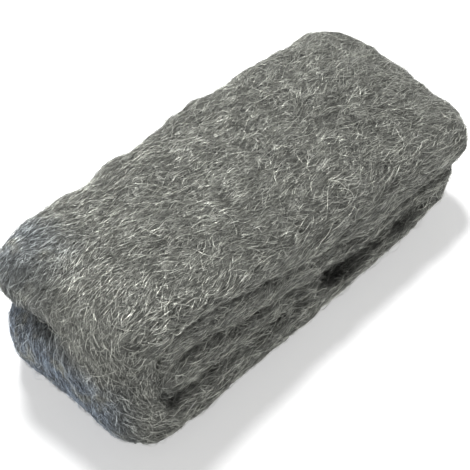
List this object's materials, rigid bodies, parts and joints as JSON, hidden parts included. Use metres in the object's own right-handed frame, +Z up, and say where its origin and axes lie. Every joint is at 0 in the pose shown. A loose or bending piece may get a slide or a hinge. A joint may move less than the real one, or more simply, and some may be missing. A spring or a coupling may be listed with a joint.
{
  "type": "steel wool pad",
  "caption": "Hand-sized steel wool pad, a ribbon of fine steel fibres rolled flat into a soft block for scouring and polishing.",
  "frame": {"origin": "centre of the pad's box in plan, on the bench that it rests on", "axes": "+X from the near fold to the cut end, +Z up through the turns"},
  "size_m": [0.1104, 0.0456, 0.0441],
  "materials": {
    "steel_wool": "fine loose steel fibres, dull grey with small glints"
  },
  "bodies": {
    "root": {"wool_pad": "steel_wool"}
  },
  "joints": []
}
